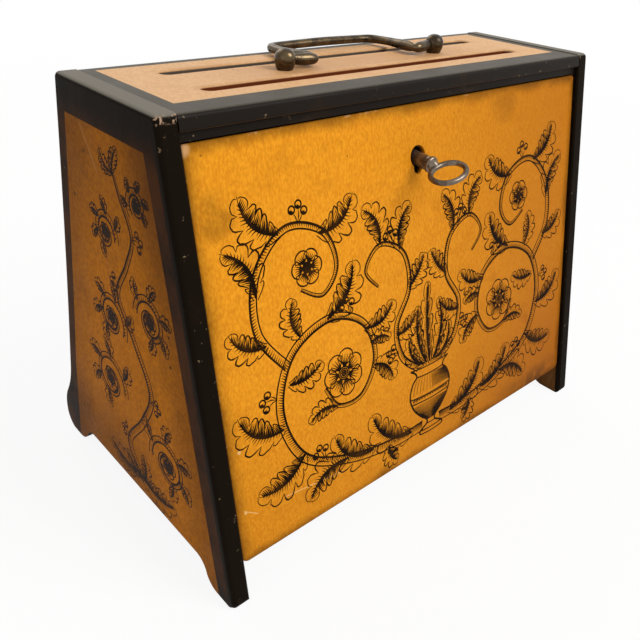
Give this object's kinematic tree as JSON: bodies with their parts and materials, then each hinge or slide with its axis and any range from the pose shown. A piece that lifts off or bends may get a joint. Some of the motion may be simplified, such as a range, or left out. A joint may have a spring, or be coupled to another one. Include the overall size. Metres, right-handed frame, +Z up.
{
  "type": "desk letter box",
  "caption": "Sloping two-slot wooden desk letter box with ogee-footed sides, a locking fall front with its key, and a swan-neck bail handle on ball posts.",
  "frame": {"origin": "on the floor under the middle of the box's bounding box", "axes": "+X to the right seen from the front, along the slots; -Y out of the fall front; +Z up"},
  "size_m": [0.25, 0.1545, 0.1988],
  "materials": {
    "amber_wood": "polished",
    "side_wood": "polished",
    "top_wood": "polished",
    "black_wood": "ebonised",
    "plain_wood": "oiled",
    "brass": "aged",
    "steel": "worn",
    "iron": "rubbed"
  },
  "bodies": {
    "case": {"side_board_left": "side_wood", "side_board_right": "side_wood", "top_board": "top_wood", "front_rail": "black_wood", "back_board": "black_wood", "bottom_board": "plain_wood", "divider_board": "plain_wood", "hinge_case_leaf_left": "brass", "hinge_case_leaf_right": "brass", "strike_plate": "brass", "handle_posts": "brass"},
    "front": {"front_board": "amber_wood", "hinge_front_leaf_left": "brass", "hinge_front_leaf_right": "brass", "lock_plate": "brass", "lock_cap": "brass", "lock_drill_pin": "steel"},
    "bolt": {"lock_bolt": "brass"},
    "key": {"key": "iron"},
    "handle": {"handle_bail": "brass"}
  },
  "joints": [
    {"name": "front_fall", "type": "hinge", "parent": "case", "child": "front", "pos_m": [0, -0.06555, 0.01477], "axis": [1, 0, 0], "range_deg": [0, 94]},
    {"name": "key_turn", "type": "hinge", "parent": "front", "child": "key", "pos_m": [-0.005, -0.03933, 0.15931], "axis": [0, -0.9972, -0.0752], "range_deg": [0, 74]},
    {"name": "bolt_slide", "type": "slide", "parent": "front", "child": "bolt", "axis": [0, 0.2025, 0.9793], "range_m": [0, 0.0045]},
    {"name": "handle_swing", "type": "hinge", "parent": "case", "child": "handle", "pos_m": [0.0016, -0.0008, 0.1947], "axis": [1, 0, 0], "range_deg": [0, 186]}
  ],
  "couplings": [
    {"joint": "bolt_slide", "follows": "key_turn", "m_per_rad": 0.00348}
  ]
}
